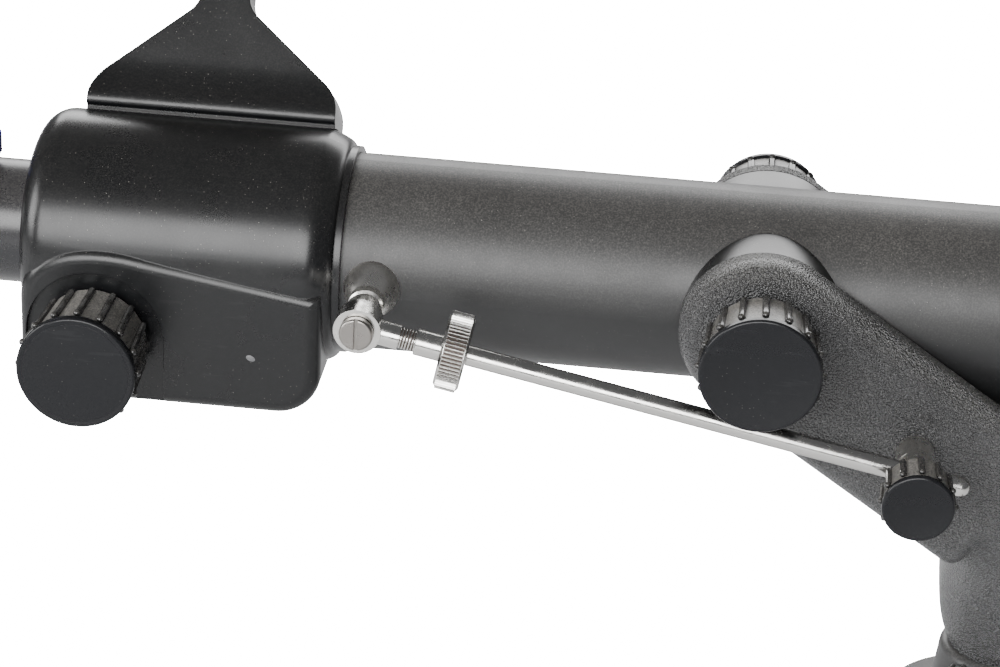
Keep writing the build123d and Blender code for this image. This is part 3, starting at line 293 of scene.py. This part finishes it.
blackPlastic = makeFinish("blackPlastic", (0.012, 0.012, 0.013), (0.3, 0.42), film=0.25, specks=0.4,
                          grain={"scale": 2200.0, "strength": 0.2, "depth": 0.04})
flatBlack = makeFinish("flatBlack", (0.006, 0.006, 0.006), (0.8, 0.95))
blackMetal = makeFinish("blackMetal", (0.02, 0.0205, 0.0215), (0.34, 0.46), film=0.2, specks=0.35,
                        grain={"scale": 1600.0, "strength": 0.2, "depth": 0.05})
collarMetal = makeFinish("collarMetal", (0.012, 0.012, 0.014), (0.24, 0.34), film=0.15, specks=0.4)
chromePlate = makeFinish("chromePlate", (0.6, 0.59, 0.57), (0.1, 0.3), metallic=1.0, film=0.25, specks=0.8,
                         speckScale=1900.0, marks=220.0, edge=0.15,
                         grain={"scale": 2400.0, "strength": 0.1, "depth": 0.02})
dullNickel = makeFinish("dullNickel", (0.82, 0.8, 0.76), (0.2, 0.36), metallic=1.0, film=0.3, specks=0.6,
                        speckScale=1900.0, marks=190.0)
screwSteel = makeFinish("screwSteel", (0.26, 0.245, 0.23), (0.22, 0.4), metallic=1.0, film=0.2, specks=0.5,
                        marks=260.0, edge=0.2)
paleSpot = makeFinish("paleSpot", (0.11, 0.11, 0.115), (0.4, 0.5), film=0.1, edge=0.05)
# painted shade: a dark brownish finish for the groove bottoms between the knurl teeth and the thread turns
paintedGrooveShade = makeFinish("paintedGrooveShade", (0.05, 0.038, 0.032), (0.4, 0.55), metallic=0.4, edge=0.05)
brightSteel = makeFinish("brightSteel", (0.5, 0.5, 0.5), (0.25, 0.4), metallic=1.0, marks=90.0)
brassMetal = makeFinish("brassMetal", (0.65, 0.45, 0.2), (0.25, 0.4), metallic=1.0, marks=90.0)
softRubber = makeFinish("softRubber", (0.012, 0.012, 0.012), (0.65, 0.85), film=0.35, specks=0.3,
                        grain={"scale": 1800.0, "strength": 0.25, "depth": 0.05})
blueAnodised = makeFinish("blueAnodised", (0.012, 0.025, 0.2), (0.2, 0.32), metallic=1.0, marks=80.0)
lensGlass = makeGlass("lensGlass", (0.92, 0.96, 0.95))
mirrorSilver = makeFinish("mirrorSilver", (0.9, 0.9, 0.91), (0.02, 0.05), metallic=1.0)

finishes = {
    "tube_black": tubePaint, "housing_black": housingGloss, "black_plastic": blackPlastic,
    "flat_black": flatBlack, "yoke_paint": yokePaint, "chrome": chromePlate, "steel": brightSteel,
    "black_metal": blackMetal, "brass": brassMetal, "rubber": softRubber,
    "blue_anodised": blueAnodised, "collar_metal": collarMetal, "glass": lensGlass, "mirror": mirrorSilver,
}
special = {"clamp_post": dullNickel, "slow_motion_post": dullNickel, "pivot_screw": screwSteel,
           "focus_knob_caps": capPlastic}
for name, node in nodes.items():
    node.data.materials.clear()
    node.data.materials.append(special.get(name, finishes[slotOf[name]]))
print("finishes placed")


# helpers for meshes
def linked(name, mesh):
    piece = bpy.data.objects.new(name, mesh)
    scene.collection.objects.link(piece)
    return piece


def smoothen(mesh, angle=32.0):
    for polygon in mesh.polygons:
        polygon.use_smooth = True
    mesh.set_sharp_from_angle(angle=math.radians(angle))


# a turned shape: (radius, height) points swept round the local Z axis
def turned(name, profile, steps=96):
    build = bmesh.new()
    turns = [2 * math.pi * i / steps for i in range(steps)]
    rings = []
    for radius, height in profile:
        if radius == 0:
            rings.append([build.verts.new((0, 0, height))])
            continue
        rings.append([build.verts.new((radius * math.cos(a), radius * math.sin(a), height)) for a in turns])
    for lower, upper in zip(rings, rings[1:]):
        for i in range(steps):
            j = (i + 1) % steps
            if len(lower) == 1 and len(upper) > 1:
                build.faces.new((lower[0], upper[j], upper[i]))
            elif len(upper) == 1 and len(lower) > 1:
                build.faces.new((lower[i], lower[j], upper[0]))
            elif len(lower) > 1:
                build.faces.new((lower[i], lower[j], upper[j], upper[i]))
    bmesh.ops.recalc_face_normals(build, faces=build.faces)
    mesh = bpy.data.meshes.new(name)
    build.to_mesh(mesh)
    build.free()
    smoothen(mesh)
    return linked(name, mesh)


# the profile of a washer or, with no hole, of a disc
def band(inner, outer, low, high):
    return [(inner, low), (outer, low), (outer, high), (inner, high), (inner, low)]


def arcPoints(centreR, centreZ, radius, start, end, count):
    points = []
    for i in range(count + 1):
        angle = math.radians(start + (end - start) * i / count)
        points.append((centreR + radius * math.cos(angle), centreZ + radius * math.sin(angle)))
    return points


# places a shape built along local Z at a point, looking along a direction
def placed(origin, direction, sideways=(1, 0, 0)):
    zAxis = Vector(direction).normalized()
    xAxis = Vector(sideways)
    xAxis = (xAxis - zAxis * xAxis.dot(zAxis)).normalized()
    yAxis = zAxis.cross(xAxis)
    return Matrix((
        (xAxis.x, yAxis.x, zAxis.x, origin[0]),
        (xAxis.y, yAxis.y, zAxis.y, origin[1]),
        (xAxis.z, yAxis.z, zAxis.z, origin[2]),
        (0, 0, 0, 1),
    ))


# a Geometry Nodes tree with named inputs, that ends in real geometry with a finish
def geometryTree(name, inputs):
    tree = bpy.data.node_groups.new(name, "GeometryNodeTree")
    tree.interface.new_socket("Geometry", in_out="INPUT", socket_type="NodeSocketGeometry")
    for label, kind in (*inputs, ("Finish", "NodeSocketMaterial")):
        tree.interface.new_socket(label, in_out="INPUT", socket_type=kind)
    tree.interface.new_socket("Geometry", in_out="OUTPUT", socket_type="NodeSocketGeometry")
    return tree, addNode(tree, "NodeGroupInput", -900)


def endTree(tree, given, made):
    real = addNode(tree, "GeometryNodeRealizeInstances", 550)
    tree.links.new(made, real.inputs[0])
    paint = addNode(tree, "GeometryNodeSetMaterial", 720)
    tree.links.new(real.outputs[0], paint.inputs[0])
    tree.links.new(given.outputs["Finish"], paint.inputs["Material"])
    tree.links.new(paint.outputs[0], addNode(tree, "NodeGroupOutput", 900).inputs[0])
    return tree


# a shape repeated in a ring about local Z
def makeRingTree():
    tree, given = geometryTree("ringOfShapes", [
        ("Count", "NodeSocketInt"),
        ("Reach", "NodeSocketFloat"),
        ("Lift", "NodeSocketFloat"),
        ("Lean", "NodeSocketFloat"),
        ("Shape", "NodeSocketObject"),
    ])
    points = addNode(tree, "GeometryNodePoints", -600, 200)
    tree.links.new(given.outputs["Count"], points.inputs["Count"])
    index = addNode(tree, "GeometryNodeInputIndex", -700, -200)
    step = mathNode(tree, "DIVIDE", 2 * math.pi, given.outputs["Count"])
    turn = product(tree, index.outputs[0], step)
    spot = addNode(tree, "ShaderNodeCombineXYZ", -300, -100)
    for socket, wave in enumerate(("COSINE", "SINE")):
        reach = product(tree, mathNode(tree, wave, turn), given.outputs["Reach"])
        tree.links.new(reach, spot.inputs[socket])
    tree.links.new(given.outputs["Lift"], spot.inputs[2])
    move = addNode(tree, "GeometryNodeSetPosition", -100, 200)
    tree.links.new(points.outputs[0], move.inputs["Geometry"])
    tree.links.new(spot.outputs[0], move.inputs["Position"])
    spin = addNode(tree, "ShaderNodeCombineXYZ", -100, -200)
    tree.links.new(given.outputs["Lean"], spin.inputs[1])
    tree.links.new(turn, spin.inputs[2])
    shape = addNode(tree, "GeometryNodeObjectInfo", -100, -400)
    tree.links.new(given.outputs["Shape"], shape.inputs[0])
    place = addNode(tree, "GeometryNodeInstanceOnPoints", 150, 100)
    tree.links.new(move.outputs[0], place.inputs["Points"])
    tree.links.new(shape.outputs["Geometry"], place.inputs["Instance"])
    tree.links.new(spin.outputs[0], place.inputs["Rotation"])
    join = addNode(tree, "GeometryNodeJoinGeometry", 350)
    tree.links.new(place.outputs[0], join.inputs[0])
    tree.links.new(given.outputs["Geometry"], join.inputs[0])
    return endTree(tree, given, join.outputs[0])


ringTree = makeRingTree()


def addModifier(piece, tree, **values):
    modifier = piece.modifiers.new(tree.name, "NODES")
    modifier.node_group = tree
    for item in tree.interface.items_tree:
        if item.in_out == "INPUT" and item.name in values:
            modifier[item.identifier] = values[item.name]


def settle(piece, matrix, angle=32.0):
    bpy.context.view_layer.update()
    view = bpy.context.evaluated_depsgraph_get()
    mesh = bpy.data.meshes.new_from_object(piece.evaluated_get(view))
    piece.modifiers.clear()
    piece.data = mesh
    mesh.transform(matrix)
    smoothen(mesh, angle)
    return piece


# the rib of a hand knob, standing on the knob's side, and the small ball it ends in
def ribShape(width, length, height):
    build = bmesh.new()
    half = width / 2
    ring = [(-height * 0.9, -half), (height * 0.55, -half), (height * 0.9, -half * 0.6), (height, 0),
            (height * 0.9, half * 0.6), (height * 0.55, half), (-height * 0.9, half)]
    stations = ((0.0, 0.55), (0.03, 0.85), (0.08, 1.0), (0.92, 1.0), (1.0, 0.96))
    loops = [[build.verts.new((x * share, y * share, z * length)) for x, y in ring] for z, share in stations]
    for lower, upper in zip(loops, loops[1:]):
        for i in range(len(ring)):
            j = (i + 1) % len(ring)
            build.faces.new((lower[i], lower[j], upper[j], upper[i]))
    build.faces.new(loops[0][::-1])
    build.faces.new(loops[-1])
    bmesh.ops.recalc_face_normals(build, faces=build.faces)
    mesh = bpy.data.meshes.new("ribShape")
    build.to_mesh(mesh)
    build.free()
    smoothen(mesh, 40)
    return linked("ribShape", mesh)


def ballShape(radius):
    mesh = bpy.data.meshes.new("ballShape")
    build = bmesh.new()
    bmesh.ops.create_uvsphere(build, u_segments=14, v_segments=9, radius=radius)
    build.to_mesh(mesh)
    build.free()
    smoothen(mesh, 90)
    return linked("ballShape", mesh)


largeKnob = {"root": 16.6, "crown": 17.6, "capRadius": 18.4, "capThick": 3.2, "rim": 0.9, "ribs": 16,
             "ribWidth": 2.2, "ribHeight": 1.4, "ball": 1.15, "ballReach": 18.45}
smallKnob = {"root": 9.9, "crown": 10.3, "capRadius": 10.8, "capThick": 2.4, "rim": 0.9, "ribs": 12,
             "ribWidth": 1.9, "ribHeight": 1.2, "ball": 0.95, "ballReach": 11.05, "length": 14.2}
# fine measures that both kinds of knob share
knobEdges = {"lead": 0.6, "lip": 0.5, "ribShort": 2.2, "capIn": 0.9, "capRise": 0.8, "dishIn": 0.5,
             "dishEdge": 0.12, "dish": 0.16}


def buildKnob(name, sizes, length, origin, direction, body, node):
    root, crown, cap = (sizes[key] * mm for key in ("root", "crown", "capRadius"))
    rim, ballRadius = sizes["rim"] * mm, sizes["ball"] * mm
    edges = {key: value * mm for key, value in knobEdges.items()}
    lead = edges["lead"]
    neck = length - sizes["capThick"] * mm
    place = placed(origin, direction)
    profile = [(0, 0), (root - lead, 0), (root, lead), (crown, neck - edges["lip"]), (crown, neck), (0, neck)]
    core = turned(name, profile)
    core.data.materials.append(knobPlastic)
    core.data.transform(place)
    rib = ribShape(sizes["ribWidth"] * mm, neck - edges["ribShort"], sizes["ribHeight"] * mm)
    ball = ballShape(ballRadius)
    lean = math.atan2(crown - root, neck)
    grip = linked(name + "Grip", bpy.data.meshes.new(name + "Grip"))
    addModifier(grip, ringTree, Count=sizes["ribs"], Reach=root, Lift=lead, Lean=lean, Shape=rib,
                Finish=knobPlastic)
    addModifier(grip, ringTree, Count=sizes["ribs"], Reach=sizes["ballReach"] * mm, Lift=neck - ballRadius,
                Lean=0.0, Shape=ball, Finish=ribPlastic)
    settle(grip, place)
    lip = arcPoints(cap - rim, length - rim, rim, 0, 90, 8)
    capProfile = [(0, neck), (cap - edges["capIn"], neck), (cap, neck + edges["capRise"]), *lip,
                  (cap - rim - edges["dishIn"], length - edges["dishEdge"]), (0, length - edges["dish"])]
    lid = turned(name + "Cap", capProfile, 128)
    lid.data.materials.append(capPlastic)
    lid.data.transform(place)
    for piece in (core, grip, lid):
        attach(piece, body)
    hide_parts(node)
    for spare in (rib, ball):
        bpy.data.objects.remove(spare)


def sideKnob(name, node, sizes, body, side, length=None):
    low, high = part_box(node)
    centre = (low + high) / 2
    if length is None:
        length = high.y - low.y
    face = low.y if side < 0 else high.y
    origin = (centre.x, face - side * length, centre.z)
    buildKnob(name, sizes, length, origin, (0, side, 0), body, node)


sideKnob("focusKnobNear", "focus_knob_near", largeKnob, "focus_shaft", -1)
sideKnob("focusKnobFar", "focus_knob_far", largeKnob, "focus_shaft", 1)
sideKnob("altitudeKnobNear", "altitude_knob_near", largeKnob, "near_altitude_knob", -1)
sideKnob("altitudeKnobFar", "altitude_knob_far", largeKnob, "far_altitude_knob", 1)
sideKnob("clampKnob", "clamp_knob", smallKnob, "clamp_grip", -1, smallKnob["length"] * mm)
print("knobs made")


# the adjusting nut of the slow motion rod: a disc with a sleeve, its edge knurled with small teeth
nutSizes = {"rodDirection": (0.981675, 0.0, -0.190561), "sleeveStart": 17.6, "discStart": 25.6,
            "thickness": 8.0, "sleeve": 4.1, "sleeveEdge": 0.3, "bore": 3.4, "root": 11.45, "chamfer": 0.9,
            "teeth": 62, "toothWidth": 0.72, "toothHeight": 0.6, "grooveRise": 0.05}
postLow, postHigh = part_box("slow_motion_post")
rodLow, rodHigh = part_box("slow_motion_rod")
rodPlace = Vector(((postLow.x + postHigh.x) / 2, (rodLow.y + rodHigh.y) / 2, (postLow.z + postHigh.z) / 2))
alongRod = placed(rodPlace, nutSizes["rodDirection"], (0, 1, 0))


def toothShape(width, height, length):
    build = bmesh.new()
    ends = []
    for z in (0.0, length):
        corners = ((-height * 0.4, -width / 2), (height * 0.15, -width / 2), (height, -width * 0.08),
                   (height, width * 0.08), (height * 0.15, width / 2), (-height * 0.4, width / 2))
        ends.append([build.verts.new((x, y, z)) for x, y in corners])
    for i in range(6):
        j = (i + 1) % 6
        build.faces.new((ends[0][i], ends[0][j], ends[1][j], ends[1][i]))
    build.faces.new(ends[0][::-1])
    build.faces.new(ends[1])
    bmesh.ops.recalc_face_normals(build, faces=build.faces)
    mesh = bpy.data.meshes.new("toothShape")
    build.to_mesh(mesh)
    build.free()
    return linked("toothShape", mesh)


def buildNut():
    size = {key: value * mm for key, value in nutSizes.items() if isinstance(value, float)}
    root, cut, bore, sleeve = size["root"], size["chamfer"], size["bore"], size["sleeve"]
    first, start, edge = size["sleeveStart"], size["discStart"], size["sleeveEdge"]
    end = start + size["thickness"]
    profile = [(bore, first), (sleeve - edge, first), (sleeve, first + edge), (sleeve, start),
               (root - cut, start), (root, start + cut * 0.8), (root, end - cut * 0.8),
               (root - cut, end), (bore, end), (bore, first)]
    disc = turned("knurledNut", profile)
    disc.data.materials.append(chromePlate)
    disc.data.transform(alongRod)
    tooth = toothShape(size["toothWidth"], size["toothHeight"], size["thickness"] - 1.8 * cut)
    teeth = linked("knurledNutTeeth", bpy.data.meshes.new("knurledNutTeeth"))
    addModifier(teeth, ringTree, Count=nutSizes["teeth"], Reach=root, Lift=start + 0.9 * cut, Lean=0.0,
                Shape=tooth, Finish=chromePlate)
    settle(teeth, alongRod, 20)
    # painted shade: a dark band under the teeth fills the grooves between them
    grooves = turned("knurledNutGrooves", band(bore, root + size["grooveRise"], start + cut, end - cut))
    grooves.data.materials.append(paintedGrooveShade)
    grooves.data.transform(alongRod)
    for piece in (disc, teeth, grooves):
        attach(piece, "nut")
    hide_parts("knurled_nut")
    bpy.data.objects.remove(tooth)


buildNut()


# a screw thread as a wire wound round local Z
def makeThreadTree():
    tree, given = geometryTree("woundThread", [
        ("Turns", "NodeSocketFloat"),
        ("Radius", "NodeSocketFloat"),
        ("Length", "NodeSocketFloat"),
        ("Wire", "NodeSocketFloat"),
    ])
    wound = addNode(tree, "GeometryNodeCurveSpiral", -400)
    wound.inputs["Resolution"].default_value = 28
    for socket, label in (("Rotations", "Turns"), ("Start Radius", "Radius"), ("End Radius", "Radius"),
                          ("Height", "Length")):
        tree.links.new(given.outputs[label], wound.inputs[socket])
    ring = addNode(tree, "GeometryNodeCurvePrimitiveCircle", -400, -300)
    ring.inputs["Resolution"].default_value = 6
    tree.links.new(given.outputs["Wire"], ring.inputs["Radius"])
    body = addNode(tree, "GeometryNodeCurveToMesh", -100)
    body.inputs["Fill Caps"].default_value = True
    tree.links.new(wound.outputs[0], body.inputs["Curve"])
    tree.links.new(ring.outputs[0], body.inputs["Profile Curve"])
    return endTree(tree, given, body.outputs[0])


threadTree = makeThreadTree()
threadSizes = {"start": 12.8, "end": 17.4, "radius": 3.06, "pitch": 0.9, "wire": 0.24, "core": 3.04}


def buildThread():
    size = {key: value * mm for key, value in threadSizes.items()}
    start, end = size["start"], size["end"]
    length = end - start
    wire = linked("studThread", bpy.data.meshes.new("studThread"))
    addModifier(wire, threadTree, Turns=length / size["pitch"], Radius=size["radius"], Length=length,
                Wire=size["wire"], Finish=chromePlate)
    settle(wire, alongRod @ Matrix.Translation((0, 0, start)), 60)
    # painted shade: a dark core shows between the turns of the thread
    groove = turned("studGroove", band(0, size["core"], start, end)[:4])
    groove.data.materials.append(paintedGrooveShade)
    groove.data.transform(alongRod)
    for piece in (wire, groove):
        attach(piece, "rod_eye")


buildThread()
print("nut and thread made")


# the small pale spot where the gear case was filled in its mould
spotSizes = {"place": (-0.2447, -0.2, 0.2972), "radius": 1.7, "rise": 0.12, "narrow": 0.62,
             "lean": (0.93, 0, -0.36)}


def buildSpot():
    housing = nodes["focuser_housing"]
    inside = housing.matrix_world.inverted()
    found = housing.ray_cast(inside @ Vector(spotSizes["place"]), inside.to_3x3() @ Vector((0, 1, 0)))
    surface = housing.matrix_world @ found[1]
    radius, rise = spotSizes["radius"] * mm, spotSizes["rise"] * mm
    spot = turned("mouldSpot", [(0, -rise), (radius, -rise), (radius * 0.8, rise * 0.8), (0, rise)], 32)
    spot.data.materials.append(paleSpot)
    spot.data.transform(Matrix.Diagonal((1.0, spotSizes["narrow"], 1.0, 1.0)))
    spot.data.transform(placed(surface, (0, -1, 0), spotSizes["lean"]))
    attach(spot, "optical_tube")


buildSpot()

# stage, lights and camera
floorMesh = bpy.data.meshes.new("floor")
floorMesh.from_pydata([(-6, -6, 0), (6, -6, 0), (6, 6, 0), (-6, 6, 0)], [], [(0, 1, 2, 3)])
floor = linked("floor", floorMesh)
floorPaint = bpy.data.materials.new("floorPaint")
floorPaint.use_nodes = True
floorTree = floorPaint.node_tree
floorTree.nodes.clear()
matte = addNode(floorTree, "ShaderNodeBsdfDiffuse")
matte.inputs["Color"].default_value = (0.8, 0.8, 0.8, 1)
glow = addNode(floorTree, "ShaderNodeEmission")
glow.inputs["Color"].default_value = (1.0, 1.0, 1.0, 1)
glow.inputs["Strength"].default_value = 40.0
rays = addNode(floorTree, "ShaderNodeLightPath")
blend = addNode(floorTree, "ShaderNodeMixShader")
floorTree.links.new(mathNode(floorTree, "MULTIPLY", rays.outputs["Is Camera Ray"], 0.8), blend.inputs[0])
floorTree.links.new(matte.outputs[0], blend.inputs[1])
floorTree.links.new(glow.outputs[0], blend.inputs[2])
floorTree.links.new(blend.outputs[0], addNode(floorTree, "ShaderNodeOutputMaterial").inputs["Surface"])
floorMesh.materials.append(floorPaint)

world = bpy.data.worlds.new("studio")
world.use_nodes = True
world.node_tree.nodes["Background"].inputs["Color"].default_value = (0.95, 0.97, 1.0, 1)
world.node_tree.nodes["Background"].inputs["Strength"].default_value = 0.16
scene.world = world


def softLight(name, place, target, width, height, power):
    data = bpy.data.lights.new(name, "AREA")
    data.shape = "RECTANGLE"
    data.size = width
    data.size_y = height
    data.energy = power
    lamp = bpy.data.objects.new(name, data)
    lamp.location = place
    lamp.rotation_euler = (Vector(target) - Vector(place)).to_track_quat("-Z", "Y").to_euler()
    scene.collection.objects.link(lamp)


softLight("backdrop", (0.0, 2.2, 1.3), (-0.1, 0, 0.33), 3.0, 1.2, 75)
softLight("beside", (-0.6, -2.1, 1.2), (-0.15, 0, 0.33), 2.0, 1.15, 92)
softLight("left", (-2.0, -0.7, 0.95), (-0.25, 0, 0.33), 0.9, 1.0, 34)

cameraSizes = {"place": (-0.106319, -0.804768, 0.683022), "right": (0.993557, 0.102582, 0.048172),
               "up": (-0.087734, 0.427143, 0.899917), "lens": 100.36, "sensor": 36.0}
cameraData = bpy.data.cameras.new("camera")
cameraData.lens = cameraSizes["lens"]
cameraData.sensor_width = cameraSizes["sensor"]
cameraData.clip_start = 0.01
camera = bpy.data.objects.new("camera", cameraData)
right, up = Vector(cameraSizes["right"]), Vector(cameraSizes["up"])
back = right.cross(up)
camera.matrix_world = Matrix((
    (right.x, up.x, back.x, cameraSizes["place"][0]),
    (right.y, up.y, back.y, cameraSizes["place"][1]),
    (right.z, up.z, back.z, cameraSizes["place"][2]),
    (0, 0, 0, 1),
))
scene.collection.objects.link(camera)
scene.camera = camera

print("scene ready")
